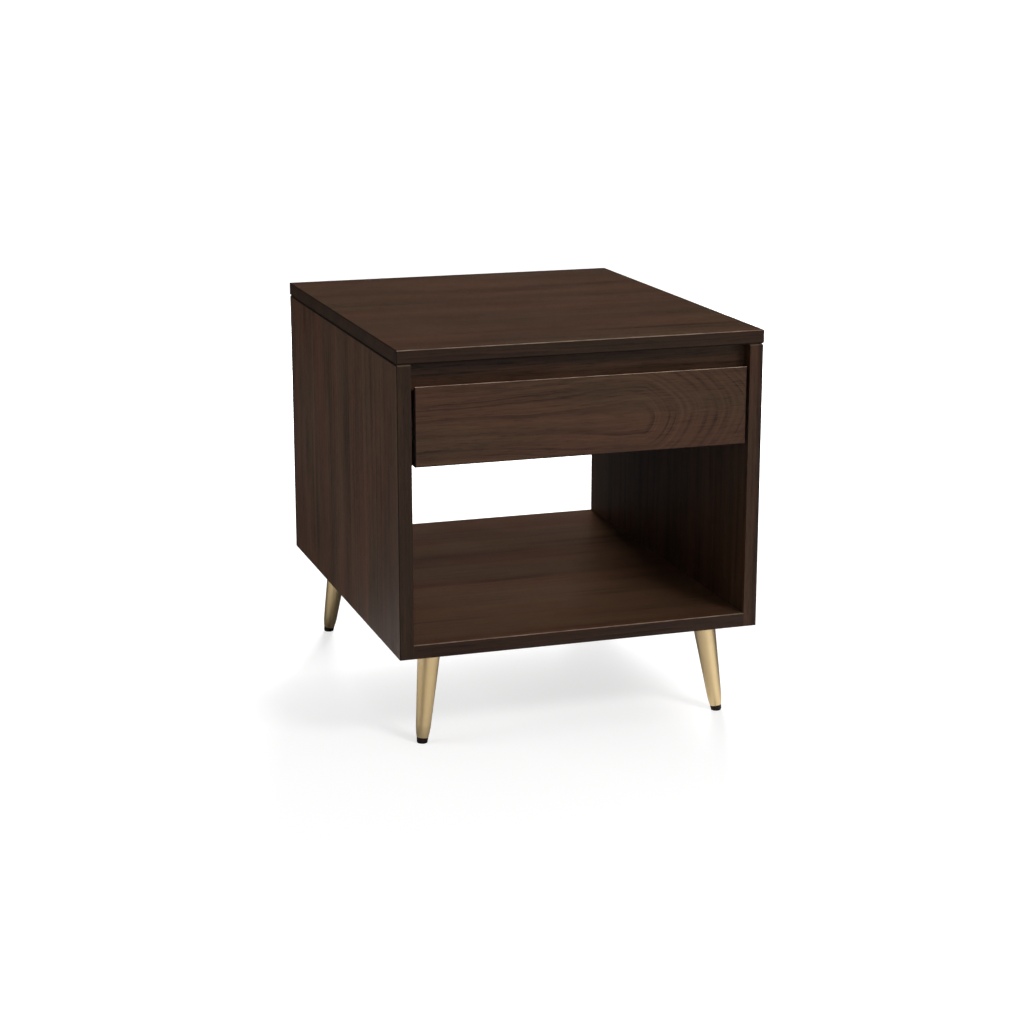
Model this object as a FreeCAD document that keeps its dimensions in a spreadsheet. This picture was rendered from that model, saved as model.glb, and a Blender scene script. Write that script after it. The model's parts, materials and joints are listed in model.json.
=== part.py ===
import FreeCAD, Part
import os
import re

import Sketcher

# Side table with one drawer on ball-bearing slides, an open shelf under it and four splayed metal legs.
# Millimetres. +Z is up, the front faces -Y and the origin is on the floor under the table's centre.

# alias, value, meaning
DIMENSIONS = [
    ("total_height", 543, "floor to table top"),
    ("total_depth", 610, "front to back of the top panel"),
    ("top_width", 509, "top panel, left to right"),
    ("side_reveal", 0.5, "top panel past the outer face of a side panel"),
    ("front_reveal", 1, "top panel past the front edge of a side panel"),
    ("board", 19, "thickness of the carcass boards and the drawer front"),
    ("under_height", 131, "floor to the underside of the carcass"),
    ("eased_edge", 1, "chamfer along the exposed edges"),
    ("groove_edge", 2, "chamfer along each side of the V-groove under the top"),
    ("finger_gap", 29, "underside of the top to the drawer front's upper edge"),
    ("rail_height", 38, "front rail, top to bottom"),
    ("rail_board", 16, "front rail thickness"),
    ("rail_setback", 22, "drawer front's face to the front rail's face"),
    ("rear_board", 15, "rear panel thickness"),
    ("rear_height", 135, "rear panel, top to bottom"),
    ("front_gap", 4.5, "drawer front to side panel"),
    ("front_height", 106, "drawer front, upper edge to lower edge"),
    ("bevel_drop", 12, "fall of the drawer front's top bevel, front to back"),
    ("slide_gap", 12.7, "drawer box to side panel, filled by a slide"),
    ("box_board", 12, "thickness of the drawer box boards"),
    ("box_length", 510, "drawer box, front to back"),
    ("box_height", 80, "drawer box sides, top to bottom"),
    ("box_lift", 10, "drawer front's lower edge to the box's lower edge"),
    ("tray_board", 6, "drawer bottom thickness"),
    ("tray_lift", 10, "box's lower edge to the underside of the drawer bottom"),
    ("tray_tongue", 5.5, "drawer bottom inside its groove"),
    ("tray_groove", 6, "depth of the groove for the drawer bottom"),
    ("running_gap", 0.1, "play around the drawer bottom in its groove"),
    ("slide_length", 500, "cabinet and drawer members of a slide"),
    ("middle_length", 480, "middle member of a slide"),
    ("slide_setback", 3, "back of the drawer front to the slide's front end"),
    ("slide_steel", 1.2, "sheet thickness of the slide members"),
    ("cabinet_half", 22.5, "half height of the cabinet member"),
    ("middle_half", 18.1, "half height of the middle member"),
    ("drawer_half", 13.7, "half height of the drawer member"),
    ("cabinet_flange", 9.6, "cabinet member's web to the tips of its flanges"),
    ("middle_web", 2.6, "side panel to the middle member's web"),
    ("middle_flange", 11, "side panel to the tips of the middle member's flanges"),
    ("drawer_flange", 5, "side panel to the tips of the drawer member's flanges"),
    ("cage_length", 220, "ball cage"),
    ("cage_steel", 0.6, "sheet thickness of the ball cages"),
    ("cage_start", 125, "slide's front end to the front end of a ball cage"),
    ("outer_cage_web", 1.6, "side panel to the outer cage's web"),
    ("outer_cage_tip", 9, "side panel to the tips of the outer cage's arms"),
    ("inner_cage_web", 4.1, "side panel to the inner cage's web"),
    ("inner_cage_tip", 10.4, "side panel to the tips of the inner cage's arms"),
    ("ball_radius", 1.55, "bearing balls"),
    ("ball_hole", 1.7, "radius of the holes in the cages"),
    ("outer_ball_in", 6, "side panel to the centres of the outer balls"),
    ("inner_ball_in", 8, "side panel to the centres of the inner balls"),
    ("ball_pitch", 20, "spacing of the balls along a cage"),
    ("outer_ball_row", 19.7, "slide's centre line to an outer ball row"),
    ("inner_ball_row", 15.3, "slide's centre line to an inner ball row"),
    ("leg_inset", 55.5, "carcass edge to a leg's axis at the plate"),
    ("foot_inset", 39.5, "carcass edge to a leg's axis at the floor"),
    ("leg_top_radius", 16, "leg at the plate"),
    ("leg_low_radius", 9.9, "leg above its rounded lower end"),
    ("leg_end_radius", 7.9, "leg's lower end"),
    ("leg_turn", 18, "floor to the leg's turn inwards, along its axis"),
    ("leg_turn_radius", 110, "rounding where the leg turns inwards"),
    ("leg_wall", 1.5, "wall of the tapered tube"),
    ("leg_spare", 4, "leg past the plate's underside before its top is cut level"),
    ("glide_height", 7, "visible part of a glide, along the leg's axis"),
    ("glide_foot", 7, "glide's radius below its rounded foot"),
    ("glide_round", 4, "rounding of a glide's foot"),
    ("glide_spare", 2, "glide below the floor before its foot is cut level"),
    ("stem_radius", 6, "glide's stem inside the leg"),
    ("stem_height", 10, "length of the glide's stem"),
    ("plate_width", 56, "square mounting plate"),
    ("plate_steel", 2.5, "mounting plate thickness"),
    ("plate_corner", 8, "mounting plate's corner radius"),
    ("plate_screw_spread", 20.5, "leg's axis to a plate screw, in X and in Y"),
    ("dowel_spread", 189, "middle of the depth to the outer dowels of the top and bottom joints"),
    ("bolt_spread", 110, "middle of the depth to the cam bolts of the top and bottom joints"),
    ("slide_screw_spread", 213, "middle of a slide to its end screws"),
    ("rail_dowel_high", 10, "underside of the top to the front rail's upper dowels"),
    ("rail_dowel_low", 28, "underside of the top to the front rail's lower dowels"),
    ("rear_dowel_high", 30, "underside of the top to the rear panel's upper dowels"),
    ("rear_dowel_low", 105, "underside of the top to the rear panel's lower dowels"),
    ("corner_screw_low", 21.5, "drawer box's lower edge to the lower corner screws"),
    ("corner_screw_high", 67, "drawer box's lower edge to the upper corner screws"),
    ("front_screw_spread", 150, "middle of the drawer to the screws in its front"),
    ("front_screw_low", 32, "drawer box's lower edge to the lower screws in the drawer front"),
    ("front_screw_high", 62, "drawer box's lower edge to the upper screws in the drawer front"),
    ("tray_screw_spread", 120, "middle of the drawer to the outer screws in the drawer bottom"),
    ("dowel_radius", 4, "wood dowels"),
    ("dowel_length", 34, "wood dowels"),
    ("cam_radius", 7.5, "cam lock"),
    ("cam_depth", 12.5, "cam lock"),
    ("cam_reach", 34, "joint to the cam lock's centre"),
    ("cam_passage", 4, "cam lock's axis to the blind end of the bolt's passage"),
    ("cam_cross", 3.5, "half length of the cross in a cam lock"),
    ("cam_cross_depth", 2.5, "depth of the cross in a cam lock"),
    ("bolt_radius", 2.75, "cam bolt's shank"),
    ("thread_radius", 3.5, "cam bolt's threaded end and its head"),
    ("thread_length", 11, "cam bolt's threaded end"),
    ("bolt_head", 3, "length of a cam bolt's head"),
    ("bolt_slack", 0.4, "play around a cam bolt below the joint"),
    ("bore_play", 0.05, "radial clearance of a dowel, bolt or screw in its bore"),
    ("bore_spare", 0.5, "blind end of a dowel's or a cam bolt's bore past the fastener"),
    ("cross_half", 0.6, "half width of the slots of a cross"),
    ("cross_depth", 1.2, "depth of the cross in a screw"),
    ("cross_share", 0.6, "half length of the cross in a screw, as a share of the head's radius"),
    ("pan_round", 1, "rounding of a pan head"),
]

# name, head's radius, shank's radius, length, height of a pan head (a countersunk head has none)
SCREWS = [
    ("cabinet_screw", 3.4, 1.9, 14, 0),
    ("slide_screw", 3.4, 1.9, 11, 0),
    ("corner_screw", 3.3, 1.75, 34, 0),
    ("front_screw", 3.6, 2, 26, 0),
    ("tray_screw", 3, 1.5, 20, 0),
    ("plate_screw", 3.6, 1.9, 16, 2.2),
]
SCREW_SIZES = ("head", "shank", "length", "pan")

SHEET = "Sizes"
BALLS_IN_A_ROW = 10
OVERRUN = "20"
NEAR = 1e-3
SMALLEST_CUT = 0.1


def make_sheet(document):
    """The driving dimensions, one row each: meaning in column A, value in column B under its alias."""
    rows = list(DIMENSIONS)
    for screw, *values in SCREWS:
        for size, value in zip(SCREW_SIZES, values):
            rows.append((f"{screw}_{size}", value, f"{size} of a {screw}"))
    table = document.addObject("Spreadsheet::Sheet", SHEET)
    for row, (alias, value, meaning) in enumerate(rows, start=1):
        table.set(f"A{row}", meaning)
        table.set(f"B{row}", str(value))
        table.setAlias(f"B{row}", alias)
    document.recompute()
    return table


def of(text):
    """An expression on the sheet: each dimension's alias gets the sheet's name in front of it."""
    return "(" + re.sub("[a-z][a-z_]*", SHEET + r".\g<0>", text) + ")"


doc = FreeCAD.newDocument("SideTable")
sheet = make_sheet(doc)
nodes = {}
bores = {}

# Planes that several pieces share
OUTER_X = of("top_width / 2 - side_reveal")
INNER_X = of("top_width / 2 - side_reveal - board")
SIDE_MIDDLE_X = of("top_width / 2 - side_reveal - board / 2")
BOX_X = of("top_width / 2 - side_reveal - board - slide_gap")
BOX_INNER_X = of("top_width / 2 - side_reveal - board - slide_gap - box_board")
FRONT_Y = of("0 - total_depth / 2")
CASE_FRONT_Y = of("front_reveal - total_depth / 2")
RAIL_Y = of("rail_setback - total_depth / 2")
BOX_FRONT_Y = of("board - total_depth / 2")
BOX_BACK_Y = of("board + box_length - total_depth / 2")
SLIDE_Y = of("board + slide_setback - total_depth / 2")
BACK_Y = of("total_depth / 2")
SHELF_Z = of("under_height + board")
SHELF_MIDDLE_Z = of("under_height + board / 2")
PLATE_Z = of("under_height - plate_steel")
DRAWER_Z = of("total_height - board - finger_gap - front_height")
BOX_Z = of("total_height - board - finger_gap - front_height + box_lift")
BOX_TOP_Z = of("total_height - board - finger_gap - front_height + box_lift + box_height")
SLIDE_Z = of("total_height - board - finger_gap - front_height + box_lift + box_height / 2")
TRAY_Z = of("total_height - board - finger_gap - front_height + box_lift + tray_lift")
UNDER_TOP_Z = of("total_height - board")

UP = FreeCAD.Vector(0, 0, 1)
DOWN = FreeCAD.Vector(0, 0, -1)
LEFT = FreeCAD.Vector(-1, 0, 0)
RIGHT = FreeCAD.Vector(1, 0, 0)
FORWARD = FreeCAD.Vector(0, -1, 0)
UNTURNED = FreeCAD.Rotation()

SIDES = {"left": -1, "right": 1}
OUTWARD = {-1: LEFT, 1: RIGHT}
INWARD = {-1: RIGHT, 1: LEFT}
CORNERS = {"front_left": (-1, -1), "front_right": (1, -1), "back_left": (-1, 1), "back_right": (1, 1)}


def amount(expression):
    """An expression's value in millimetres."""
    return float(sheet.evalExpression(expression))


def aimed(down, side=None):
    """The rotation that turns a fastener's -Z to the direction down and its -X to the direction side."""
    if side is None:
        side = LEFT if down.z else UP
    z_axis = down * -1
    x_axis = side * -1
    return FreeCAD.Rotation(x_axis, z_axis.cross(x_axis), z_axis, "ZXY")


def place(item, x, y, z, turn=UNTURNED):
    """Puts an object at a point given by three expressions."""
    item.Placement = FreeCAD.Placement(FreeCAD.Vector(), turn)
    for axis, text in (("x", x), ("y", y), ("z", z)):
        item.setExpression(f"Placement.Base.{axis}", text)


def keep(label, item):
    """Names a finished piece, which becomes a file of that name."""
    item.Label = label
    nodes[label] = item
    return item


# Ways of making a piece


def outline(body, plane, corners):
    """A closed polygon on one of the body's origin planes, each corner held by two expressions."""
    sketch = body.newObject("Sketcher::SketchObject", body.Name + "_outline")
    support = [item for item in body.Origin.OriginFeatures if item.Role == plane][0]
    sketch.AttachmentSupport = (support, [""])
    sketch.MapMode = "FlatFace"
    points = [FreeCAD.Vector(amount(u), amount(v), 0) for u, v in corners]
    for start, end in zip(points, points[1:] + points[:1]):
        sketch.addGeometry(Part.LineSegment(start, end), False)
    for index, (u, v) in enumerate(corners):
        following = (index + 1) % len(corners)
        sketch.addConstraint(Sketcher.Constraint("Coincident", index, 2, following, 1))
        for kind, text in (("DistanceX", u), ("DistanceY", v)):
            rule = Sketcher.Constraint(kind, -1, 1, index, 1, amount(text))
            number = sketch.addConstraint(rule)
            sketch.setExpression(f"Constraints[{number}]", text)
    return sketch


def padded(name, plane, corners, length):
    """A body made by extruding an outline, half of the length to each side of its plane."""
    body = doc.addObject("PartDesign::Body", name)
    sketch = outline(body, plane, corners)
    pad = body.newObject("PartDesign::Pad", name + "_pad")
    pad.Profile = sketch
    pad.Midplane = True
    pad.setExpression("Length", length)
    doc.recompute()
    return body


def turned(name, corners):
    """A body made by turning an outline of radius and height once round the Z axis."""
    body = doc.addObject("PartDesign::Body", name)
    sketch = outline(body, "XZ_Plane", corners)
    turning = body.newObject("PartDesign::Revolution", name + "_turning")
    turning.Profile = sketch
    turning.ReferenceAxis = (sketch, ["V_Axis"])
    turning.Angle = 360
    doc.recompute()
    return body


def board(name, across, along, upward):
    """A rectangular board between two expressions in X, two in Y and two in Z."""
    halves = [f"({high} - ({low})) / 2" for low, high in (across, along)]
    signs = [(-1, -1), (1, -1), (1, 1), (-1, 1)]
    corners = [(f"{i} * {halves[0]}", f"{j} * {halves[1]}") for i, j in signs]
    body = padded(name, "XY_Plane", corners, f"{upward[1]} - ({upward[0]})")
    place(body, *[f"({low} + {high}) / 2" for low, high in (across, along, upward)])
    doc.recompute()
    return body


def edges_on(shape, sides):
    """Names of the edges that lie on every named side of the shape's box, such as -Y."""
    box = shape.BoundBox
    found = []
    for number, edge in enumerate(shape.Edges, start=1):
        limits = edge.BoundBox
        gaps = []
        for sign, axis in sides:
            level = getattr(box, axis + ("Max" if sign == "+" else "Min"))
            gaps += [abs(getattr(limits, axis + end) - level) for end in ("Min", "Max")]
        if max(gaps) < NEAR:
            found.append(f"Edge{number}")
    return found


def dress(body, kind, size, *places):
    """Chamfers or fillets the edges at each place. A place names the sides that its edges lie on."""
    base = body.Tip
    names = {name for sides in places for name in edges_on(base.Shape, sides)}
    feature = body.newObject("PartDesign::" + kind, f"{body.Name}_{kind}".lower())
    feature.Base = (base, sorted(names))
    feature.setExpression("Size" if kind == "Chamfer" else "Radius", of(size))
    doc.recompute()


def block(name, across, along, upward):
    """A box between two expressions in X, two in Y and two in Z."""
    item = doc.addObject("Part::Box", name)
    for size, (low, high) in zip(("Length", "Width", "Height"), (across, along, upward)):
        item.setExpression(size, f"{high} - ({low})")
    place(item, across[0], along[0], upward[0])
    return item


def bar(name, radius, low, high, x="0", turn=UNTURNED):
    """A cylinder round the Z axis between two expressions in Z, before it is moved along X and turned."""
    item = doc.addObject("Part::Cylinder", name)
    item.setExpression("Radius", radius)
    item.setExpression("Height", f"{high} - ({low})")
    place(item, x, "0", low, turn)
    return item


def joined(name, pieces):
    """Several shapes fused into one."""
    item = doc.addObject("Part::MultiFuse", name)
    item.Shapes = pieces
    doc.recompute()
    return item


def less(name, blank, tools):
    """A blank with each tool cut away in turn. Every tool has to remove some cubic millimetres."""
    item = blank
    for number, tool in enumerate(tools, start=1):
        cut = doc.addObject("Part::Cut", f"{name}_cut_{number}")
        cut.Base = item
        cut.Tool = tool
        doc.recompute()
        if cut.Shape.Volume > item.Shape.Volume - SMALLEST_CUT:
            raise ValueError(f"{tool.Label} removes nothing from {name}")
        item = cut
    return item


def copies(name, master, spots):
    """One compound of a master repeated at each spot: x, y, z and a rotation."""
    item = doc.addObject("Part::Compound", name)
    links = []
    for spot in spots:
        link = doc.addObject("App::Link", name + "_copy")
        link.LinkedObject = master
        link.LinkTransform = True
        place(link, *spot)
        links.append(link)
    item.Links = links
    doc.recompute()
    return item


def fasten(label, fastener, spots):
    """Identical fasteners as one node, and the bores that they need under the same label."""
    master, bore = fastener
    keep(label, copies(label, master, spots))
    bores[label] = copies(label + "_bores", bore, spots)


def bored(label, blank, *labels):
    """Keeps a blank with the bores of the named fasteners cut away."""
    keep(label, less(label, blank, [bores[name] for name in labels]))


# Fasteners. Each stands at the origin, pointing down, with the surface or joint that it enters at z = 0,
# and comes with the shape of its bore.


def cross_recess(name, reach, depth, top="0"):
    """The cross that a screwdriver fits, sunk below a height."""
    long_way = (f"0 - {reach}", reach)
    thin_way = (of("0 - cross_half"), of("cross_half"))
    upward = (f"{top} - {depth}", f"{top} + {OVERRUN}")
    slots = [block(name + "_x", long_way, thin_way, upward), block(name + "_y", thin_way, long_way, upward)]
    return joined(name, slots)


def make_dowel():
    """A wood dowel, half of it on each side of the joint."""
    reach = of("dowel_length / 2")
    spare = of("dowel_length / 2 + bore_spare")
    master = bar("dowel", of("dowel_radius"), f"0 - {reach}", reach)
    return master, bar("dowel_bore", of("dowel_radius + bore_play"), f"0 - {spare}", spare)


def make_cam_bolt():
    """A bolt with its thread above the joint, and its shank and head below."""
    end = of("0 - cam_reach")
    thread = bar("bolt_thread", of("thread_radius"), "0", of("thread_length"))
    shank = bar("bolt_shank", of("bolt_radius"), end, "0")
    head = bar("bolt_head", of("thread_radius"), end, of("bolt_head - cam_reach"))
    upper = bar("bolt_bore_thread", of("thread_radius + bore_play"), "0", of("thread_length + bore_spare"))
    lower = bar("bolt_bore_shank", of("thread_radius + bolt_slack"), end, "0")
    return joined("cam_bolt", [thread, shank, head]), joined("cam_bolt_bore", [upper, lower])


def make_cam_lock():
    """A lock sunk below z = 0, which takes the bolt's head from -X at half of a board's thickness."""
    bottom = of("0 - cam_depth")
    drum = bar("cam_drum", of("cam_radius"), bottom, "0")
    passage = bar("cam_passage", of("thread_radius + bolt_slack"), "0", OVERRUN)
    place(passage, of("cam_passage"), "0", of("0 - board / 2"), aimed(RIGHT))
    cross = cross_recess("cam_cross", of("cam_cross"), of("cam_cross_depth"))
    master = less("cam_lock", drum, [passage, cross])
    return master, bar("cam_bore", of("cam_radius + bore_play"), of("0 - cam_depth - bore_play"), "0")


def make_screw(name):
    """One of the listed screws: countersunk and flush with z = 0, or pan-headed and standing on it."""
    head, shank, length, pan = [f"{name}_{size}" for size in SCREW_SIZES]
    wide = f"{shank} + bore_play"
    cone = f"{shank} - {head}"
    if amount(of(pan)):
        top = [("0", pan), (f"{head} - pan_round", pan), (head, f"{pan} / 2"), (head, "0"), (shank, "0")]
        mouth = [("0", "0"), (wide, "0")]
    else:
        top = [("0", "0"), (head, "0"), (shank, cone)]
        mouth = [("0", "0"), (f"{head} + bore_play", "0"), (wide, cone)]
    tip = [(shank, f"{shank} * 2 / 3 - {length}"), (f"{shank} / 3", f"0 - {length}"), ("0", f"0 - {length}")]
    end = [(wide, f"0 - {length} - bore_play"), ("0", f"0 - {length} - bore_play")]
    blank = turned(name + "_blank", [(of(radius), of(level)) for radius, level in top + tip])
    bore = turned(name + "_bore", [(of(radius), of(level)) for radius, level in mouth + end])
    cross = cross_recess(name + "_cross", of(f"{head} * cross_share"), of("cross_depth"), of(pan))
    return less(name, blank, [cross]), bore


# Where the fasteners go


def top_spots(spread, shares):
    """Points on the joint between the top and each side panel."""
    return [
        (f"{side} * {SIDE_MIDDLE_X}", f"{share} * {spread}", UNDER_TOP_Z, aimed(DOWN))
        for side in SIDES.values()
        for share in shares
    ]


def end_spots(y_and_z):
    """Points on the joints between the side panels and the ends of a board between them."""
    return [
        (f"{side} * {INNER_X}", y, z, aimed(INWARD[side])) for side in SIDES.values() for y, z in y_and_z
    ]


def top_lock_spots(spread):
    """Points on the inner faces of the side panels, one under each top bolt."""
    height = of("total_height - board - cam_reach")
    return [
        (f"{side} * {INNER_X}", f"{share} * {spread}", height, aimed(OUTWARD[side], UP))
        for side in SIDES.values()
        for share in (-1, 1)
    ]


def bottom_lock_spots(spread):
    """Points on the underside of the bottom panel, one at each bottom bolt."""
    inset = of("top_width / 2 - side_reveal - board - cam_reach")
    return [
        (f"{side} * {inset}", f"{share} * {spread}", of("under_height"), aimed(UP, OUTWARD[side]))
        for side in SIDES.values()
        for share in (-1, 1)
    ]


def slide_screw_spots(x, aims):
    """Three points along each slide's centre line."""
    middle = f"({SLIDE_Y} + {of('slide_length / 2')})"
    return [
        (f"{side} * {x}", f"{middle} + {share} * {of('slide_screw_spread')}", SLIDE_Z, aimed(aims[side]))
        for side in SIDES.values()
        for share in (-1, 0, 1)
    ]


def drawer_corner_spots():
    """Two points at each corner of the drawer box, above and below the slide."""
    ends = [f"{BOX_FRONT_Y} + {of('box_board / 2')}", f"{BOX_BACK_Y} - {of('box_board / 2')}"]
    return [
        (f"{side} * {BOX_X}", y, f"{BOX_Z} + {of(rise)}", aimed(INWARD[side]))
        for side in SIDES.values()
        for y in ends
        for rise in ("corner_screw_low", "corner_screw_high")
    ]


def drawer_front_spots():
    """Four points inside the drawer box, on the back of its front board."""
    inside = f"{BOX_FRONT_Y} + {of('box_board')}"
    return [
        (f"{side} * {of('front_screw_spread')}", inside, f"{BOX_Z} + {of(rise)}", aimed(FORWARD))
        for side in SIDES.values()
        for rise in ("front_screw_low", "front_screw_high")
    ]


def drawer_bottom_spots():
    """Three points under the drawer bottom, below the drawer's back board."""
    under_back = f"{BOX_BACK_Y} - {of('box_board / 2')}"
    return [(f"{share} * {of('tray_screw_spread')}", under_back, TRAY_Z, aimed(UP)) for share in (-1, 0, 1)]


def plate_screw_spots():
    """Four points on the underside of each mounting plate."""
    leg_x = of("top_width / 2 - side_reveal - leg_inset")
    leg_y = of("total_depth / 2 - leg_inset")
    reach = of("plate_screw_spread")
    return [
        (f"{i} * {leg_x} + {u} * {reach}", f"{j} * {leg_y} + {v} * {reach}", PLATE_Z, aimed(UP))
        for i, j in CORNERS.values()
        for u in (-1, 1)
        for v in (-1, 1)
    ]


def add_fasteners():
    """Every dowel, cam fitting and screw of the table, and its bores."""
    dowel = make_dowel()
    bolt = make_cam_bolt()
    lock = make_cam_lock()
    dowel_spread = of("dowel_spread")
    bolt_spread = of("bolt_spread")
    rail_middle = f"{RAIL_Y} + {of('rail_board / 2')}"
    rear_middle = f"{BACK_Y} - {of('rear_board / 2')}"
    thirds = [(f"{share} * {dowel_spread}", SHELF_MIDDLE_Z) for share in (-1, 0, 1)]
    pair = [(f"{share} * {bolt_spread}", SHELF_MIDDLE_Z) for share in (-1, 1)]
    rail_falls = ("rail_dowel_high", "rail_dowel_low")
    rear_falls = ("rear_dowel_high", "rear_dowel_low")
    rail_ends = [(rail_middle, f"{UNDER_TOP_Z} - {of(fall)}") for fall in rail_falls]
    rear_ends = [(rear_middle, f"{UNDER_TOP_Z} - {of(fall)}") for fall in rear_falls]
    cabinet_web = of("top_width / 2 - side_reveal - board - slide_steel")
    drawer_web = of("top_width / 2 - side_reveal - board - slide_gap + slide_steel")

    fasten("top_dowels", dowel, top_spots(dowel_spread, (-1, 0, 1)))
    fasten("top_cam_bolts", bolt, top_spots(bolt_spread, (-1, 1)))
    fasten("top_cam_locks", lock, top_lock_spots(bolt_spread))
    fasten("bottom_dowels", dowel, end_spots(thirds))
    fasten("bottom_cam_bolts", bolt, end_spots(pair))
    fasten("bottom_cam_locks", lock, bottom_lock_spots(bolt_spread))
    fasten("front_rail_dowels", dowel, end_spots(rail_ends))
    fasten("rear_panel_dowels", dowel, end_spots(rear_ends))
    fasten("slide_cabinet_screws", make_screw("cabinet_screw"), slide_screw_spots(cabinet_web, OUTWARD))
    fasten("slide_drawer_screws", make_screw("slide_screw"), slide_screw_spots(drawer_web, INWARD))
    fasten("drawer_corner_screws", make_screw("corner_screw"), drawer_corner_spots())
    fasten("drawer_front_screws", make_screw("front_screw"), drawer_front_spots())
    fasten("drawer_bottom_screws", make_screw("tray_screw"), drawer_bottom_spots())
    fasten("leg_plate_screws", make_screw("plate_screw"), plate_screw_spots())


# The carcass

BETWEEN_SIDES = (f"0 - {INNER_X}", INNER_X)
UPRIGHT_EDGES = (("-X", "-Y"), ("+X", "-Y"), ("-X", "+Y"), ("+X", "+Y"))


def make_top():
    """The top panel, chamfered below for the V-groove round the carcass."""
    half = of("top_width / 2")
    top = board("top_blank", (f"0 - {half}", half), (FRONT_Y, BACK_Y), (UNDER_TOP_Z, of("total_height")))
    dress(top, "Chamfer", "groove_edge", ("-Z",))
    dress(top, "Chamfer", "eased_edge", ("+Z",))
    dress(top, "Chamfer", "eased_edge", *UPRIGHT_EDGES)
    bored("top_panel", top, "top_dowels", "top_cam_bolts")


def make_sides():
    """The two side panels, the other half of the V-groove along their upper edges."""
    fastened = [
        "top_dowels", "top_cam_bolts", "top_cam_locks", "bottom_dowels", "bottom_cam_bolts",
        "front_rail_dowels", "rear_panel_dowels", "slide_cabinet_screws",
    ]
    for name, side in SIDES.items():
        across = (INNER_X, OUTER_X) if side > 0 else (f"0 - {OUTER_X}", f"0 - {INNER_X}")
        outer = "+X" if side > 0 else "-X"
        panel = board(name + "_side_blank", across, (CASE_FRONT_Y, BACK_Y), (of("under_height"), UNDER_TOP_Z))
        dress(panel, "Chamfer", "groove_edge", (outer, "+Z"), ("-Y", "+Z"))
        dress(panel, "Chamfer", "eased_edge", (outer, "-Y"), (outer, "+Y"))
        bored(name + "_side_panel", panel, *fastened)


def make_bottom():
    """The bottom panel, which is also the open shelf."""
    bottom = board("bottom_blank", BETWEEN_SIDES, (CASE_FRONT_Y, BACK_Y), (of("under_height"), SHELF_Z))
    dress(bottom, "Chamfer", "eased_edge", ("-Y", "+Z"))
    bored("bottom_panel", bottom, "bottom_dowels", "bottom_cam_bolts", "bottom_cam_locks", "leg_plate_screws")


def make_rail():
    """The front rail behind the finger gap."""
    rail_back = f"{RAIL_Y} + {of('rail_board')}"
    rail_low = f"{UNDER_TOP_Z} - {of('rail_height')}"
    rail = board("front_rail_blank", BETWEEN_SIDES, (RAIL_Y, rail_back), (rail_low, UNDER_TOP_Z))
    bored("front_rail", rail, "front_rail_dowels")


def make_rear():
    """The rear panel, which closes the back behind the drawer only."""
    rear_front = f"{BACK_Y} - {of('rear_board')}"
    rear_low = f"{UNDER_TOP_Z} - {of('rear_height')}"
    rear = board("rear_panel_blank", BETWEEN_SIDES, (rear_front, BACK_Y), (rear_low, UNDER_TOP_Z))
    bored("rear_panel", rear, "rear_panel_dowels")


# The drawer

BETWEEN_WALLS = (f"0 - {BOX_INNER_X}", BOX_INNER_X)


def make_drawer_front():
    """The drawer front, whose upper edge is bevelled down to the back for the fingers."""
    profile = [
        ("0", "0"),
        (of("board"), "0"),
        (of("board"), of("front_height - bevel_drop")),
        ("0", of("front_height")),
    ]
    width = of("top_width - 2 * side_reveal - 2 * board - 2 * front_gap")
    front = padded("drawer_front_blank", "YZ_Plane", profile, width)
    place(front, "0", FRONT_Y, DRAWER_Z)
    doc.recompute()
    dress(front, "Chamfer", "eased_edge", ("-Y",))
    bored("drawer_front", front, "drawer_front_screws")


def cut_tray_groove():
    """The groove for the drawer bottom, kept among the bores."""
    side = f"({BOX_INNER_X} + {of('tray_groove')})"
    front = f"({BOX_FRONT_Y} + {of('box_board - tray_groove')})"
    low = f"({TRAY_Z} - {of('running_gap')})"
    high = f"({TRAY_Z} + {of('tray_board + running_gap')})"
    back = f"({BOX_BACK_Y} + {OVERRUN})"
    bores["tray_groove"] = block("tray_groove", (f"0 - {side}", side), (front, back), (low, high))


def make_box_sides():
    """The two sides of the drawer box."""
    for name, side in SIDES.items():
        across = (BOX_INNER_X, BOX_X) if side > 0 else (f"0 - {BOX_X}", f"0 - {BOX_INNER_X}")
        wall = board(f"drawer_{name}_blank", across, (BOX_FRONT_Y, BOX_BACK_Y), (BOX_Z, BOX_TOP_Z))
        dress(wall, "Chamfer", "eased_edge", ("+Z",))
        bored(f"drawer_{name}_side", wall, "tray_groove", "drawer_corner_screws", "slide_drawer_screws")


def make_box_ends():
    """The front and the back of the drawer box."""
    front_depth = (BOX_FRONT_Y, f"{BOX_FRONT_Y} + {of('box_board')}")
    front = board("box_front_blank", BETWEEN_WALLS, front_depth, (BOX_Z, BOX_TOP_Z))
    dress(front, "Chamfer", "eased_edge", ("+Z", "+Y"))
    bored("drawer_box_front", front, "tray_groove", "drawer_corner_screws", "drawer_front_screws")

    back_depth = (f"{BOX_BACK_Y} - {of('box_board')}", BOX_BACK_Y)
    back = board("box_back_blank", BETWEEN_WALLS, back_depth, (f"{TRAY_Z} + {of('tray_board')}", BOX_TOP_Z))
    dress(back, "Chamfer", "eased_edge", ("+Z", "+Y"), ("+Z", "-Y"))
    bored("drawer_back", back, "drawer_corner_screws", "drawer_bottom_screws")


def make_tray():
    """The drawer bottom, in its groove on three sides and screwed up into the back."""
    side = f"({BOX_INNER_X} + {of('tray_tongue')})"
    depth = (f"{BOX_FRONT_Y} + {of('box_board - tray_tongue')}", BOX_BACK_Y)
    tray = board("tray_blank", (f"0 - {side}", side), depth, (TRAY_Z, f"{TRAY_Z} + {of('tray_board')}"))
    bored("drawer_bottom", tray, "drawer_bottom_screws")


# The slides


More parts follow.
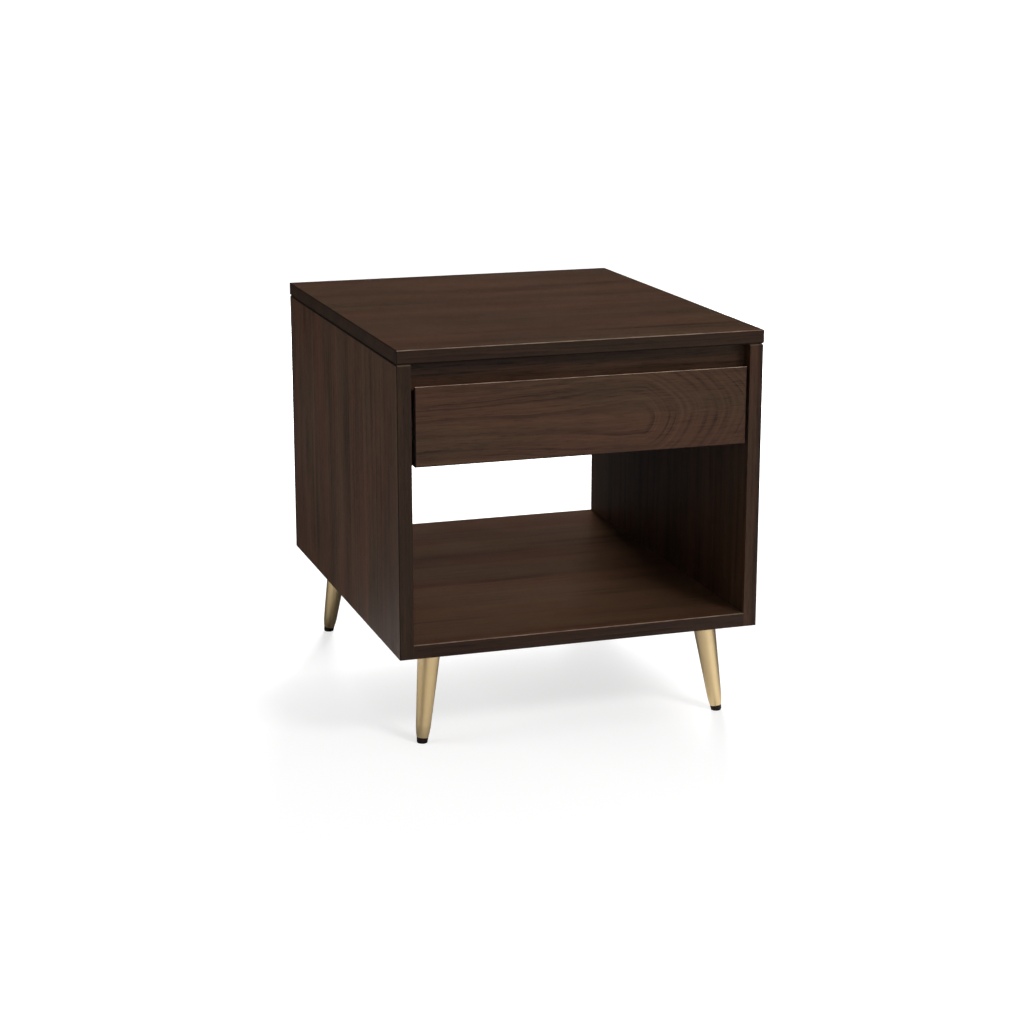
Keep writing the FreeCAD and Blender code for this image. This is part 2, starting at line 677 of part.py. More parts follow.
def channel(name, side, web, tip, half, steel, length, start):
    """A folded strip along Y: a web beside the side panel and two flanges that end at the tip.

    web and tip are distances from the side panel, half is the half height, and steel is negative where
    the flanges point back towards the side panel. start is where the strip's front end lies.
    """
    inside = f"({web} + {steel})"
    thick = f"abs({steel})"
    corners = [
        (web, f"0 - {half}"),
        (tip, f"0 - {half}"),
        (tip, f"{thick} - {half}"),
        (inside, f"{thick} - {half}"),
        (inside, f"{half} - {thick}"),
        (tip, f"{half} - {thick}"),
        (tip, half),
        (web, half),
    ]
    body = padded(name, "XZ_Plane", corners, length)
    turn = UNTURNED if side < 0 else FreeCAD.Rotation(UP, 180)
    place(body, f"{side} * {INNER_X}", f"{start} + {length} / 2", SLIDE_Z, turn)
    doc.recompute()
    return body


def make_ball_cage(name, side, stage, ball):
    """One ball cage of a slide and the balls in it. stage is outer or inner."""
    row = of(f"{stage}_ball_row")
    start = f"({SLIDE_Y} + {of('cage_start')})"
    half = of(f"{stage}_ball_row + cage_steel / 2")
    web = of(f"{stage}_cage_web")
    tip = of(f"{stage}_cage_tip")
    strip = channel(f"{name}_cage", side, web, tip, half, of("cage_steel"), of("cage_length"), start)
    ball_x = f"{side} * ({INNER_X} - {of(f'{stage}_ball_in')})"
    reach = f"({row} + {OVERRUN})"
    hole = bar(f"{name}_hole", of("ball_hole"), f"0 - {reach}", reach)
    along = [f"{start} + {number + 1} * {of('ball_pitch')}" for number in range(BALLS_IN_A_ROW)]
    holes = copies(f"{name}_holes", hole, [(ball_x, y, SLIDE_Z, UNTURNED) for y in along])
    balls = [(ball_x, y, f"{SLIDE_Z} + {end} * {row}", UNTURNED) for y in along for end in (-1, 1)]
    keep(f"{name}_ball_cage", less(f"{name}_ball_cage", strip, [holes]))
    keep(f"{name}_balls", copies(f"{name}_balls", ball, balls))


def make_slides():
    """The three members of each slide and the ball cages between them."""
    ball = doc.addObject("Part::Sphere", "ball")
    ball.setExpression("Radius", of("ball_radius"))
    steel = of("slide_steel")
    for name, side in SIDES.items():
        cabinet = channel(
            f"{name}_cabinet_strip", side, "0", of("cabinet_flange"), of("cabinet_half"),
            steel, of("slide_length"), SLIDE_Y,
        )
        bored(f"{name}_slide_cabinet_member", cabinet, "slide_cabinet_screws")
        middle = channel(
            f"{name}_middle_strip", side, of("middle_web"), of("middle_flange"), of("middle_half"),
            steel, of("middle_length"), SLIDE_Y,
        )
        keep(f"{name}_slide_middle_member", middle)
        drawer = channel(
            f"{name}_drawer_strip", side, of("slide_gap"), of("drawer_flange"), of("drawer_half"),
            of("0 - slide_steel"), of("slide_length"), SLIDE_Y,
        )
        bored(f"{name}_slide_drawer_member", drawer, "slide_drawer_screws")
        for stage in ("outer", "inner"):
            make_ball_cage(f"{name}_{stage}", side, stage, ball)


# The legs

LEG_HEIGHT = of("under_height - plate_steel")
LEG_SPLAY = of("leg_inset - foot_inset")
LEG_LENGTH = f"sqrt({LEG_HEIGHT} ^ 2 + 2 * {LEG_SPLAY} ^ 2)"
LEG_TILT = f"atan(sqrt(2) * {LEG_SPLAY} / {LEG_HEIGHT})"


def round_ring(body, radius, level, size):
    """Fillets the circular edge of a turned body that has this radius at this height."""
    base = body.Tip
    names = []
    for number, edge in enumerate(base.Shape.Edges, start=1):
        box = edge.BoundBox
        if max(abs(box.XMax - radius), abs(box.ZMin - level), abs(box.ZMax - level)) < NEAR:
            names.append(f"Edge{number}")
    fillet = body.newObject("PartDesign::Fillet", body.Name + "_fillet")
    fillet.Base = (base, names)
    fillet.setExpression("Radius", of(size))
    doc.recompute()


def leg_tube(name):
    """A tapered tube that turns in at its lower end, upright on its foot point."""
    over_top = f"({LEG_LENGTH} + {of('leg_spare')})"
    socket = of("stem_radius + bore_play")
    corners = [
        (of("leg_end_radius"), of("glide_height")),
        (of("leg_low_radius"), of("leg_turn")),
        (of("leg_top_radius"), over_top),
        (of("leg_top_radius - leg_wall"), over_top),
        (of("leg_low_radius - leg_wall"), of("leg_turn")),
        (socket, of("leg_turn")),
        (socket, of("glide_height")),
    ]
    body = turned(name, corners)
    round_ring(body, amount(of("leg_low_radius")), amount(of("leg_turn")), "leg_turn_radius")
    return body


def glide_blank(name):
    """A round-footed glide with the stem that plugs it into the leg, upright on the same foot point."""
    low = of("0 - glide_spare")
    corners = [
        ("0", low),
        (of("glide_foot"), low),
        (of("leg_end_radius"), of("glide_height")),
        (of("stem_radius"), of("glide_height")),
        (of("stem_radius"), of("glide_height + stem_height")),
        ("0", of("glide_height + stem_height")),
    ]
    body = turned(name, corners)
    round_ring(body, amount(of("glide_foot")), amount(low), "glide_round")
    return body


def lean(item, corner):
    """Stands an upright piece on a corner's foot point and leans it in towards the leg's plate."""
    i, j = corner
    foot_x = f"{i} * {of('top_width / 2 - side_reveal - foot_inset')}"
    foot_y = f"{j} * {of('total_depth / 2 - foot_inset')}"
    place(item, foot_x, foot_y, "0", FreeCAD.Rotation(FreeCAD.Vector(j, -i, 0), 1))
    item.setExpression("Placement.Rotation.Angle", LEG_TILT)
    doc.recompute()


def make_legs():
    """At each corner a mounting plate, a splayed tapered leg cut level under it, and a glide."""
    everywhere = [(f"0 - {BACK_Y}", BACK_Y)] * 2
    ceiling = block("above_the_plates", *everywhere, (PLATE_Z, f"{PLATE_Z} + {OVERRUN}"))
    floor = block("below_the_floor", *everywhere, (f"0 - {OVERRUN}", "0"))
    half = of("plate_width / 2")
    for name, corner in CORNERS.items():
        leg_x = f"({corner[0]} * {of('top_width / 2 - side_reveal - leg_inset')})"
        leg_y = f"({corner[1]} * {of('total_depth / 2 - leg_inset')})"
        spans = [(f"({middle} - {half})", f"({middle} + {half})") for middle in (leg_x, leg_y)]
        plate = board(name + "_plate_blank", *spans, (PLATE_Z, of("under_height")))
        dress(plate, "Fillet", "plate_corner", *UPRIGHT_EDGES)
        bored(name + "_leg_plate", plate, "leg_plate_screws")
        tube = leg_tube(name + "_tube")
        lean(tube, corner)
        keep(name + "_leg", less(name + "_leg", tube, [ceiling]))
        glide = glide_blank(name + "_glide_blank")
        lean(glide, corner)
        keep(name + "_glide", less(name + "_glide", glide, [floor]))


def check_and_write():
    """Stops on any failed object or bad shape, then writes one STEP file for each piece."""
    doc.recompute()
    for item in doc.Objects:
        if "Invalid" in item.State or "Error" in item.State:
            raise ValueError(f"{item.Label} failed: {item.State}")
    for label, item in nodes.items():
        if item.Shape.isNull() or not item.Shape.isValid() or not item.Shape.Solids:
            raise ValueError(f"{label} has no good shape")
    os.makedirs("parts", exist_ok=True)
    for label, item in nodes.items():
        item.Shape.exportStep(f"parts/{label}.step")


add_fasteners()
make_top()
make_sides()
make_bottom()
make_rail()
make_rear()
make_drawer_front()
cut_tray_groove()
make_box_sides()
make_box_ends()
make_tray()
make_slides()
make_legs()
check_and_write()
print(len(nodes), "pieces written")
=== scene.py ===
import json
import math

import bpy
from mathutils import Euler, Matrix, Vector


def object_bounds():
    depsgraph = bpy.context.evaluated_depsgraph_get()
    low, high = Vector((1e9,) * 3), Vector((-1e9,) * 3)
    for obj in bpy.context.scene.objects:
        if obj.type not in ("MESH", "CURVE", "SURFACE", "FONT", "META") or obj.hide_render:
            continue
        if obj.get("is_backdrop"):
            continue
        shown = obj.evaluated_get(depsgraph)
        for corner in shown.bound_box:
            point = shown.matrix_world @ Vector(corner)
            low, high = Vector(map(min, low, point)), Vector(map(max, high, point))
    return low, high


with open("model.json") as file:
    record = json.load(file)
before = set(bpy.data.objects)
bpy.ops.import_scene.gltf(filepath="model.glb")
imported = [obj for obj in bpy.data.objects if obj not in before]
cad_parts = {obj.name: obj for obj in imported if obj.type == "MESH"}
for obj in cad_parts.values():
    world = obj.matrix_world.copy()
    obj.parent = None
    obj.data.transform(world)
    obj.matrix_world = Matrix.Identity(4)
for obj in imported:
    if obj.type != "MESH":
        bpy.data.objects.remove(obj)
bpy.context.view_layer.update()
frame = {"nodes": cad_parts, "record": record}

# Looks of the side table: walnut-stained carcass and drawer front, pale drawer box, satin brass legs.
# Everything is in metres, in the frame of the CAD model, and every shape of the table comes from it.

SLOT_OF = {part["node"]: part["material_slot"] for part in frame["record"]["subparts"]}


# How deep the surface relief of each material is
PORE_RELIEF = 0.00008
FIBRE_RELIEF = 0.00006
MOULDED_RELIEF = 0.00005
BRUSHED_RELIEF = 0.00002


# Building node trees


class Tree:
    """The node tree of a new material, or of the world, with one short call for each kind of node."""

    def __init__(self, name, world=None):
        self.owner = world or bpy.data.materials.new(name)
        self.owner.use_nodes = True
        self.tree = self.owner.node_tree
        self.shader = self.tree.nodes["Background" if world else "Principled BSDF"]

    def node(self, kind, inputs=None, **settings):
        """A node with its settings, and with a value or a link in each named input."""
        made = self.tree.nodes.new(kind)
        for name, value in settings.items():
            setattr(made, name, value)
        for name, value in (inputs or {}).items():
            self.feed(made.inputs[name], value)
        return made

    def feed(self, socket, value):
        """Links an output to a socket, or sets the socket to a plain value."""
        if isinstance(value, bpy.types.NodeSocket):
            self.tree.links.new(value, socket)
        else:
            socket.default_value = value

    def math(self, operation, *values, clamp=False):
        made = self.node("ShaderNodeMath", operation=operation, use_clamp=clamp)
        for socket, value in zip(made.inputs, values):
            self.feed(socket, value)
        return made.outputs[0]

    def vector_math(self, operation, *values, output="Vector"):
        return self.node("ShaderNodeVectorMath", dict(enumerate(values)), operation=operation).outputs[output]

    def parts(self, vector):
        """The X, Y and Z outputs of a vector."""
        return self.node("ShaderNodeSeparateXYZ", {0: vector}).outputs

    def span(self, value, low, high, new_low=0.0, new_high=1.0):
        """A smooth step: low to high becomes new_low to new_high."""
        inputs = {"Value": value, "From Min": low, "From Max": high, "To Min": new_low, "To Max": new_high}
        return self.node("ShaderNodeMapRange", inputs, interpolation_type="SMOOTHSTEP").outputs[0]

    def mix(self, share, first, second):
        """A mix of two colours. The sockets go by number, because their names repeat."""
        made = self.node("ShaderNodeMix", data_type="RGBA")
        for index, value in zip((0, 6, 7), (share, first, second)):
            self.feed(made.inputs[index], value)
        return made.outputs[2]

    def noise(self, point, x, y, z, detail=3.0, roughness=0.5):
        """Noise with so many lumps per metre along each axis."""
        scaled = self.vector_math("MULTIPLY", point, (x, y, z))
        inputs = {"Vector": scaled, "Scale": 1.0, "Detail": detail, "Roughness": roughness}
        return self.node("ShaderNodeTexNoise", inputs).outputs[0]

    def grain(self, point, along, across, detail=2.0, roughness=0.5):
        """Noise in grain space, with so many lumps per metre along the grain and across it."""
        return self.noise(point, along, across, across, detail, roughness)

    def bands(self, distance, density, detail):
        """Noise along one line: layers of uneven thickness, so many per metre."""
        inputs = {"W": self.math("MULTIPLY", distance, density), "Scale": 1.0, "Detail": detail}
        return self.node("ShaderNodeTexNoise", inputs, noise_dimensions="1D").outputs[0]

    def object_point(self):
        return self.node("ShaderNodeTexCoord").outputs["Object"]

    def normal(self):
        """The three parts of the surface's normal, in the object's own axes."""
        return self.parts(self.node("ShaderNodeTexCoord").outputs["Normal"])

    def level(self, axis):
        """How squarely a face looks along an axis, from 0 to 1."""
        return self.math("ABSOLUTE", self.normal()[axis])

    def chamfer(self):
        """1 on the 45 degree chamfers, where no part of the normal is over 0.71, and 0 on the other faces."""
        sizes = [self.math("ABSOLUTE", part) for part in self.normal()]
        largest = self.math("MAXIMUM", self.math("MAXIMUM", sizes[0], sizes[1]), sizes[2])
        return self.span(largest, 0.74, 0.80, 1.0, 0.0)

    def upper_front(self):
        """1 on the faces that slope up and to the front, where the arrises are painted pale: a painted
        highlight, and wear.
        """
        parts = self.normal()
        front = self.span(parts["Y"], -0.42, -0.32, 1.0, 0.0)
        return self.math("MULTIPLY", front, self.span(parts["Z"], 0.45, 0.55))

    def bump(self, height, distance):
        inputs = {"Height": height, "Distance": distance, "Strength": 1.0}
        self.feed(self.shader.inputs["Normal"], self.node("ShaderNodeBump", inputs).outputs[0])

    def finish(self, colour, roughness, **fixed):
        """Links colour and roughness to the shader. Values that are even all over are set on its sockets."""
        self.feed(self.shader.inputs["Base Color"], colour)
        self.feed(self.shader.inputs["Roughness"], roughness)
        for name, value in fixed.items():
            self.shader.inputs[name.replace("_", " ")].default_value = value
        return self.owner


# Grain space: X along the grain, Y across it on the broad face, Z into the board


# The axes of the object that become X, Y and Z of grain space, for each way that a board lies
GRAIN_ORDER = {"flat": "XYZ", "front": "XZY", "upright": "ZYX", "lengthways": "YZX"}
NO_SHIFT = (0.0, 0.0, 0.0)


def grain_point(tree, lie, shift=NO_SHIFT):
    """The point in grain space, shifted so that no two boards are cut from the same place."""
    axes = tree.parts(tree.object_point())
    picked = {name: axes[axis] for name, axis in zip("XYZ", GRAIN_ORDER[lie])}
    turned = tree.node("ShaderNodeCombineXYZ", picked).outputs[0]
    return tree.vector_math("ADD", turned, shift)


def broad_face(tree, lie):
    """How squarely a face is a board's broad one, and not an edge, from 0 to 1."""
    return tree.level(GRAIN_ORDER[lie][2])


# Walnut


WALNUT_DARK = (0.016, 0.008, 0.0045, 1)
WALNUT_OLIVE = (0.100, 0.054, 0.030, 1)
WALNUT_RED = (0.106, 0.048, 0.027, 1)
# Painted highlight and wear: the pale colour painted on the upper front arrises
WALNUT_HIGHLIGHT_AND_WEAR = (0.60, 0.45, 0.34, 1)
BLACK = (0, 0, 0, 1)

RINGS_PER_METRE = 85.0
# 2 would make the arches of the growth rings round, and 1 straight-sided
ARCH_POINT = 1.5
# How far the rings' centre lies from depth 0 in grain space
PITH_DEPTH = 0.02
STREAK_WEIGHT = 0.8
ARCHED_STREAK_WEIGHT = 0.2
# How black the chamfers are painted away from the upper front arrises: painted shade, a fine dark line round
# each board where the grooves between parts fall dark
CHAMFER_PAINTED_SHADE = 0.85


def growth_rings(tree, point, pith, sway, cathedral):
    """The distance to the wavy line that a board's growth rings are centred on.

    pith is how far across the board that line is. Where cathedral is above 0, the rings close into arches
    along the grain, past the point where the shifted board's length is 0.
    """
    along, across, depth = tree.parts(point)
    wave = tree.grain(point, 3.0, 9.0, detail=1.0)
    ripple = tree.grain(point, 14.0, 30.0, detail=1.0)
    bend = tree.math("MULTIPLY", tree.math("SUBTRACT", wave, 0.5), sway)
    flutter = tree.math("MULTIPLY", tree.math("SUBTRACT", ripple, 0.5), 0.2 * sway)
    side = tree.math("ADD", tree.math("SUBTRACT", across, pith), tree.math("ADD", bend, flutter))
    closing = tree.math("MULTIPLY", tree.math("MAXIMUM", along, 0.0), cathedral)
    inward = tree.math("ADD", tree.math("ADD", depth, closing), PITH_DEPTH)
    sizes = [tree.math("ABSOLUTE", value) for value in (side, inward)]
    total = tree.math("ADD", *[tree.math("POWER", size, ARCH_POINT) for size in sizes])
    return tree.math("POWER", total, 1 / ARCH_POINT)


def ring_line(tree, point, ring):
    """The dark line that ends each year's growth, unevenly spaced, and faded out in places."""
    drift = tree.math("MULTIPLY", tree.bands(ring, 30.0, detail=1.0), 3.0)
    phase = tree.math("FRACT", tree.math("ADD", tree.math("MULTIPLY", ring, RINGS_PER_METRE), drift))
    line = tree.math("MULTIPLY", tree.span(phase, 0.50, 0.93), tree.span(phase, 0.94, 1.0, 1.0, 0.0))
    return tree.math("MULTIPLY", line, tree.span(tree.grain(point, 6.0, 24.0), 0.38, 0.62))


def streak_weight(tree, point, cathedral):
    """How much the streaks count. They run straight, so they count less where the rings arch."""
    if not cathedral:
        return STREAK_WEIGHT
    return tree.span(tree.parts(point)["X"], -0.03, 0.06, STREAK_WEIGHT, ARCHED_STREAK_WEIGHT)


def walnut_figure(tree, point, ring, fibre, streaky):
    """How much paler or darker than even the wood is, in bands, clouds, streaks and fibres."""
    broad = tree.bands(ring, 26.0, detail=2.0)
    fine = tree.bands(ring, 260.0, detail=3.0)
    cloud = tree.grain(point, 5.0, 26.0)
    streak = tree.grain(point, 3.5, 150.0, detail=5.0, roughness=0.65)
    total = 0.0
    for pattern, weight in ((broad, 0.5), (fine, 0.5), (cloud, 0.5), (streak, streaky), (fibre, 0.5)):
        total = tree.math("ADD", total, tree.math("MULTIPLY", tree.math("SUBTRACT", pattern, 0.5), weight))
    return total


def walnut_marks(tree, point, ring, pore, tone):
    """A tone with the dark ring lines, flecks and pores taken off it."""
    fleck = tree.span(tree.grain(point, 42.0, 560.0), 0.54, 0.66)
    for pattern, weight in ((ring_line(tree, point, ring), 0.32), (fleck, 0.18), (pore, 0.12)):
        tone = tree.math("SUBTRACT", tone, tree.math("MULTIPLY", pattern, weight), clamp=True)
    return tone


def walnut_edges(tree, point, lie, colour, wear_and_highlight, lipping):
    """A colour with darker edges, chamfers painted nearly black as painted shade in the grooves between the
    boards, and upper front arrises painted pale in patches, as wear and a painted highlight.
    """
    on_edge = tree.span(broad_face(tree, lie), 0.3, 0.5, lipping, 0.0)
    colour = tree.mix(on_edge, colour, BLACK)
    front = tree.upper_front()
    # Painted shade: the chamfers away from the upper front are painted nearly black, for the dark grooves
    # between the boards
    shaded_chamfer = tree.math("MULTIPLY", tree.chamfer(), tree.math("SUBTRACT", 1.0, front))
    colour = tree.mix(tree.math("MULTIPLY", shaded_chamfer, CHAMFER_PAINTED_SHADE), colour, BLACK)
    # Painted highlight and wear: the upper front arrises are painted pale, in patches
    rubbed_and_lit = tree.span(tree.grain(point, 40.0, 40.0, detail=4.0), 0.35, 0.65, 0.5 * wear_and_highlight, wear_and_highlight)
    return tree.mix(tree.math("MULTIPLY", front, rubbed_and_lit), colour, WALNUT_HIGHLIGHT_AND_WEAR)


def walnut(name, lie, shift, pith, sway=0.02, cathedral=0.0, tone=0.60, figure=1.0, wear_and_highlight=0.15, lipping=0.5):
    """Stained walnut veneer with growth rings, streaks, flecks and pores, and with darker lippings.

    tone is how pale the board is, figure how strongly its grain shows, and lipping how much darker its edges
    are.
    The setting between figure and lipping is how pale the upper front arrises are painted: wear, and a
    painted highlight.
    """
    tree = Tree(name)
    point = grain_point(tree, lie, shift)
    ring = growth_rings(tree, point, pith, sway, cathedral)
    fibre = tree.grain(point, 30.0, 900.0, roughness=0.6)
    pore = tree.span(tree.grain(point, 130.0, 2600.0, detail=1.0), 0.62, 0.74)
    contrast = walnut_figure(tree, point, ring, fibre, streak_weight(tree, point, cathedral))
    even = tree.math("ADD", tone, tree.math("MULTIPLY", contrast, figure))
    pale = walnut_marks(tree, point, ring, pore, even)
    patch = tree.span(tree.grain(point, 3.0, 14.0, detail=3.0), 0.38, 0.62)
    colour = tree.mix(pale, WALNUT_DARK, tree.mix(patch, WALNUT_OLIVE, WALNUT_RED))
    smudge = tree.span(tree.grain(point, 7.0, 7.0), 0.3, 0.7, 0.38, 0.46)
    roughness = tree.math("ADD", smudge, tree.math("MULTIPLY", pore, 0.12))
    tree.bump(tree.math("SUBTRACT", tree.math("MULTIPLY", fibre, 0.5), pore), PORE_RELIEF)
    colour = walnut_edges(tree, point, lie, colour, wear_and_highlight, lipping)
    return tree.finish(colour, roughness, Specular_IOR_Level=0.14)


WALNUT_BOARDS = {
    "top_panel": dict(
        lie="flat", shift=(0.3, 0.1, 0.0), pith=-0.55, wear_and_highlight=0.4, lipping=0.6,
    ),
    "bottom_panel": dict(
        lie="flat", shift=(1.7, 0.6, 0.3), pith=0.90, tone=0.72, figure=0.7, wear_and_highlight=0.35, lipping=0.6,
    ),
    "left_side_panel": dict(
        lie="upright", shift=(2.9, 0.2, 0.9), pith=-0.45, tone=0.55,
    ),
    # The right side panel's low tone is painted shade: the whole board is darkened for the shade inside the
    # open shelf
    "right_side_panel": dict(
        lie="upright", shift=(4.1, 0.5, 1.4), pith=1.0, tone=0.40, figure=0.8, lipping=0.1,
    ),
    # The front rail's low tone is painted shade: the whole rail is darkened for the shadow that the top casts
    # on it in its recess
    "front_rail": dict(
        lie="front", shift=(5.3, 0.4, 2.0), pith=0.75, sway=0.03, tone=0.43,
    ),
    "rear_panel": dict(
        lie="front", shift=(6.2, 0.1, 2.6), pith=0.3, sway=0.03,
    ),
    "drawer_front": dict(
        lie="front", shift=(-0.085, -0.437, 0.30), pith=0.0, sway=0.045, cathedral=0.7, tone=0.53,
        figure=0.85, wear_and_highlight=1.0,
    ),
}


# The other materials


# Two colours for each: the usual one and the one in darker, duller or scuffed places
BIRCH = (0.62, 0.45, 0.27, 1), (0.48, 0.32, 0.17, 1)
BEECH = (0.66, 0.47, 0.29, 1), (0.52, 0.33, 0.18, 1)
BRASS = (0.83, 0.63, 0.34, 1), (0.77, 0.56, 0.28, 1)
PLASTIC = (0.011, 0.007, 0.004, 1), (0.030, 0.019, 0.011, 1)

ZINC_STRIP = (0.60, 0.61, 0.62)
BEARING_BALL = (0.72, 0.73, 0.75)
ZINC_FASTENER = (0.62, 0.61, 0.57)
# How dark the dull patches of steel are, beside its tint
STEEL_BLOOM = 0.88

PLY_THICKNESS = 0.0015


def pale_wood(name, light, dark, lie, layers=False):
    """Clear-lacquered pale wood. With layers, its edges show the plies."""
    tree = Tree(name)
    point = grain_point(tree, lie)
    fibre = tree.grain(point, 14.0, 420.0, detail=4.0, roughness=0.6)
    cloud = tree.grain(point, 3.0, 14.0, detail=3.0)
    share = tree.math("ADD", tree.span(fibre, 0.35, 0.70, 0.0, 0.6), tree.span(cloud, 0.35, 0.65, 0.0, 0.4))
    colour = tree.mix(share, light, dark)
    if layers:
        ply = tree.math("PINGPONG", tree.parts(point)["Z"], PLY_THICKNESS)
        stripe = tree.span(ply, PLY_THICKNESS / 3, PLY_THICKNESS * 2 / 3)
        on_edge = tree.span(broad_face(tree, lie), 0.5, 0.8, 0.55, 0.0)
        colour = tree.mix(tree.math("MULTIPLY", stripe, on_edge), colour, dark)
    tree.bump(fibre, FIBRE_RELIEF)
    return tree.finish(colour, tree.span(cloud, 0.3, 0.7, 0.42, 0.52), Specular_IOR_Level=0.4)


def brass():
    """Satin champagne plating, brushed round the tube, slightly duller in patches."""
    tree = Tree("champagne_brass")
    point = tree.object_point()
    brushing = tree.noise(point, 60.0, 60.0, 2400.0, detail=2.0)
    patina = tree.noise(point, 22.0, 22.0, 14.0, detail=4.0)
    colour = tree.mix(tree.span(patina, 0.3, 0.7), *BRASS)
    brushed = tree.span(brushing, 0.3, 0.7, 0.30, 0.38)
    roughness = tree.math("ADD", brushed, tree.span(patina, 0.4, 0.7, 0.0, 0.05))
    tree.bump(brushing, BRUSHED_RELIEF)
    return tree.finish(colour, roughness, Metallic=0.9, Coat_Weight=0.5, Coat_Roughness=0.25, Coat_IOR=1.6)


def steel(name, tint, low, high):
    """Zinc-plated or polished steel, drawn along Y, with its roughness between low and high."""
    tree = Tree(name)
    point = tree.object_point()
    drawn = tree.noise(point, 900.0, 12.0, 900.0)
    bloom = tree.noise(point, 70.0, 70.0, 70.0, detail=4.0)
    dull = [STEEL_BLOOM * part for part in tint]
    colour = tree.mix(tree.span(bloom, 0.35, 0.7), (*tint, 1), (*dull, 1))
    roughness = tree.span(tree.math("ADD", drawn, bloom), 0.7, 1.3, low, high)
    tree.bump(drawn, BRUSHED_RELIEF)
    return tree.finish(colour, roughness, Metallic=1.0)


def black_plastic():
    """Moulded plastic with a fine grain, scuffed lighter in places."""
    tree = Tree("glide_plastic")
    point = tree.object_point()
    moulded = tree.noise(point, 1400.0, 1400.0, 1400.0, detail=2.0)
    scuff = tree.noise(point, 160.0, 160.0, 160.0, detail=4.0)
    colour = tree.mix(tree.span(scuff, 0.50, 0.72), *PLASTIC)
    tree.bump(moulded, MOULDED_RELIEF)
    return tree.finish(colour, tree.span(scuff, 0.3, 0.7, 0.42, 0.60), Specular_IOR_Level=0.2)


# How the grain lies in each board of the drawer box
BOX_BOARDS = {
    "drawer_left_side": "lengthways",
    "drawer_right_side": "lengthways",
    "drawer_box_front": "front",
    "drawer_back": "front",
    "drawer_bottom": "flat",
}


def dress(node, material):
    """Gives a CAD node its material."""
    slots = frame["nodes"][node].data.materials
    slots.clear()
    slots.append(material)


def dress_all():
    """Each board is its own piece of wood. The other nodes share one material for each slot of the record."""
    shared = {
        "beech": pale_wood("beech_dowel", *BEECH, "flat"),
        "brass": brass(),
        "glide_plastic": black_plastic(),
        "zinc_steel": steel("zinc_strip", ZINC_STRIP, 0.28, 0.42),
        "bearing_steel": steel("bearing_ball", BEARING_BALL, 0.06, 0.14),
        "fastener_steel": steel("zinc_fastener", ZINC_FASTENER, 0.30, 0.45),
    }
    for node, slot in SLOT_OF.items():
        if node in WALNUT_BOARDS:
            dress(node, walnut(f"walnut_{node}", **WALNUT_BOARDS[node]))
        elif node in BOX_BOARDS:
            dress(node, pale_wood(f"birch_{node}", *BIRCH, BOX_BOARDS[node], layers=True))
        else:
            dress(node, shared[slot])


# The studio


WHITE = (1, 1, 1, 1)

# The studio's pale walls, which are light in the world and painted brightness in the floor's colour:
# direction, how squarely a point must lie in it to count and to be full, brightness
WALLS = (
    (Vector((0.00, -1.00, 0.0)), -0.20, 0.80, 0.16),
    (Vector((0.20, -0.98, 0.0)), 0.50, 0.90, 0.80),
    (Vector((-1.00, 0.00, 0.0)), 0.68, 0.95, 0.60),
)
WALL_DARK = 0.06

# Each softbox: name, place, the point that it is turned to, width, height and power
SOFTBOXES = (
    ("overhead", (0.2, 0.1, 2.6), (0, 0, 0.4), 2.2, 2.2, 12),
    ("front_right", (1.2, -2.5, 2.3), (0, 0, 0.3), 0.9, 0.7, 34),
    ("left", (-3.0, 0.3, 1.3), (0, 0, 0.3), 2.0, 1.6, 27),
    ("back", (0.95, 2.95, 1.25), (0, 0, 0.25), 1.0, 0.7, 145),
)

FLOOR_WIDTH = 400
PAPER = (0.54, 0.54, 0.54, 1), (0.56, 0.56, 0.56, 1)
# The paper glows for the camera only, which is painted light: it glows less under the table, and between
# these distances from the table's middle it rises to white
GLOW_START = 0.7
GLOW_END = 1.8
GLOW_UNDER_TABLE = 0.65


def studio_light(tree, direction):
    """How bright the studio is in a direction: most in front, less on the left, and dark elsewhere."""
    total = WALL_DARK
    for toward, start, full, brightness in WALLS:
        facing = tree.vector_math("DOT_PRODUCT", direction, toward, output="Value")
        total = tree.math("ADD", total, tree.span(facing, start, full, 0.0, brightness))
    return total


def camera_ray(tree):
    """1 for what the camera sees directly, and 0 for reflections and bounced light."""
    return tree.node("ShaderNodeLightPath").outputs["Is Camera Ray"]


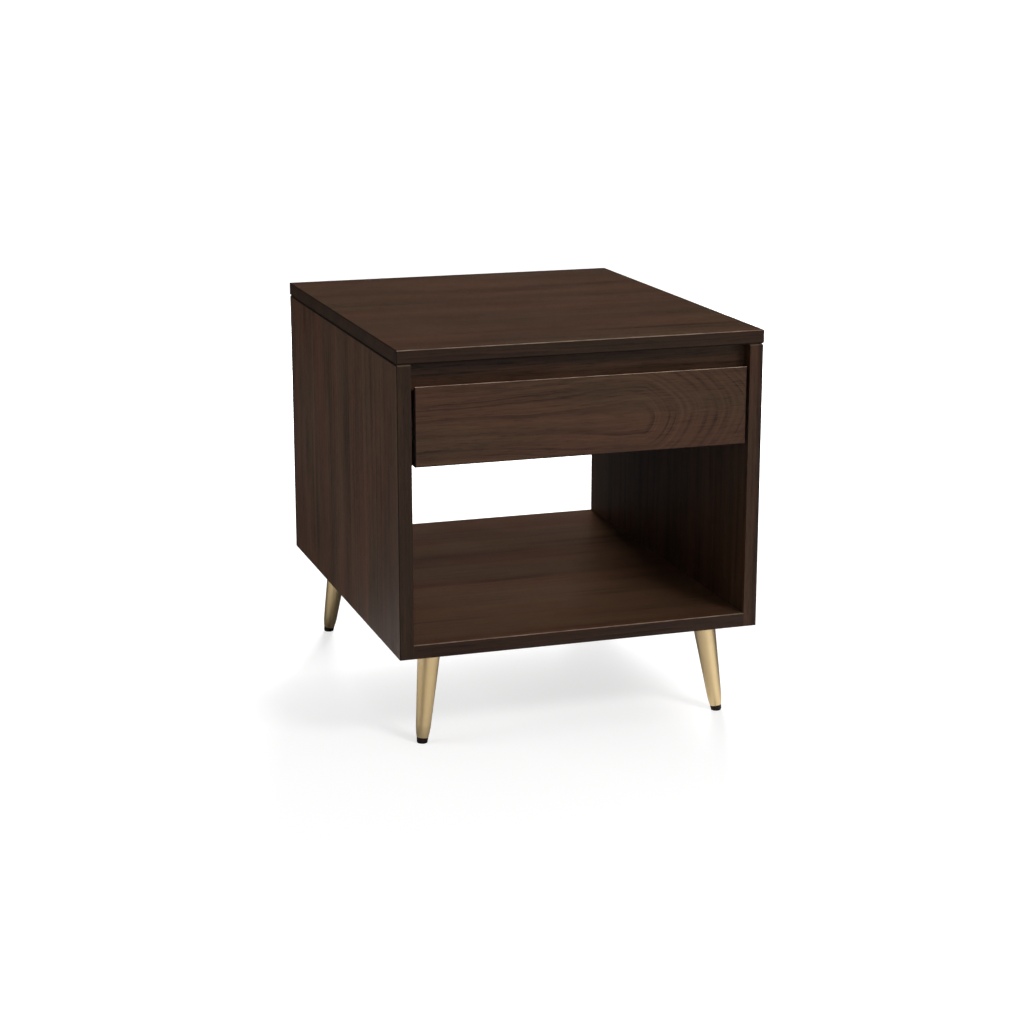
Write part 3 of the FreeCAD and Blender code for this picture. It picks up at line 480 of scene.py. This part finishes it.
def add_floor():
    """A wide sweep of paper that glows white for the camera. For reflections and bounced light its colour is
    painted with the studio walls' brightness, a painted reflection of the walls.
    """
    bpy.ops.mesh.primitive_plane_add(size=FLOOR_WIDTH)
    floor = bpy.context.object
    floor.name = "floor"
    tree = Tree("studio_floor")
    point = tree.object_point()
    seen = camera_ray(tree)
    paper = tree.mix(tree.noise(point, 0.7, 0.7, 0.7, detail=2.0), *PAPER)
    # Painted reflection: for reflections and bounced light the floor's colour is the walls' brightness in its
    # direction; the camera sees the plain paper
    colour = tree.mix(seen, studio_light(tree, tree.vector_math("NORMALIZE", point)), paper)
    reach = tree.vector_math("LENGTH", point, output="Value")
    glow = tree.span(reach, GLOW_START, GLOW_END, GLOW_UNDER_TABLE, 1.0)
    tree.feed(tree.shader.inputs["Emission Strength"], tree.math("MULTIPLY", glow, seen))
    tree.shader.inputs["Emission Color"].default_value = WHITE
    floor.data.materials.append(tree.finish(colour, 0.9, Specular_IOR_Level=0.0))
    floor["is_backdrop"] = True


def add_light(name, place, aim, width, height, power):
    """A softbox at a point, turned to another point. Glossy pieces reflect the walls instead of it."""
    light = bpy.data.lights.new(name, "AREA")
    light.shape = "RECTANGLE"
    light.size = width
    light.size_y = height
    light.energy = power
    item = bpy.data.objects.new(name, light)
    item.location = place
    item.rotation_euler = (Vector(aim) - Vector(place)).to_track_quat("-Z", "Y").to_euler()
    item.visible_camera = False
    item.visible_glossy = False
    bpy.context.scene.collection.objects.link(item)


def add_world():
    """White to the eye, and the studio's walls to everything else."""
    world = bpy.data.worlds.new("studio")
    bpy.context.scene.world = world
    tree = Tree("studio", world)
    direction = tree.node("ShaderNodeTexCoord").outputs["Generated"]
    strength = tree.span(camera_ray(tree), 0.0, 1.0, studio_light(tree, direction), 1.0)
    tree.feed(tree.shader.inputs["Strength"], strength)
    tree.shader.inputs["Color"].default_value = WHITE


VIEW_TURN = math.radians(18.17)
VIEW_TILT = math.radians(14.34)
VIEW_DISTANCE = 3.268
# In millimetres
VIEW_LENS = 79.05
SENSOR_WIDTH = 36
# How far the camera is lowered from the line through the table's middle, which raises the table in the frame
AIM_DROP = 0.0322


def add_camera():
    """Looks at the table from the front left and a little above."""
    low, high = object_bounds()
    data = bpy.data.cameras.new("camera")
    data.lens = VIEW_LENS
    data.sensor_width = SENSOR_WIDTH
    camera = bpy.data.objects.new("camera", data)
    camera.rotation_euler = Euler((math.pi / 2 - VIEW_TILT, 0, -VIEW_TURN))
    back = camera.rotation_euler.to_matrix() @ Vector((0, 0, 1))
    up = camera.rotation_euler.to_matrix() @ Vector((0, 1, 0))
    camera.location = (low + high) / 2 + back * VIEW_DISTANCE - up * AIM_DROP
    bpy.context.scene.collection.objects.link(camera)
    bpy.context.scene.camera = camera


def add_studio():
    add_floor()
    for softbox in SOFTBOXES:
        add_light(*softbox)
    add_world()
    add_camera()
    bpy.context.scene.view_settings.view_transform = "Standard"


dress_all()
add_studio()
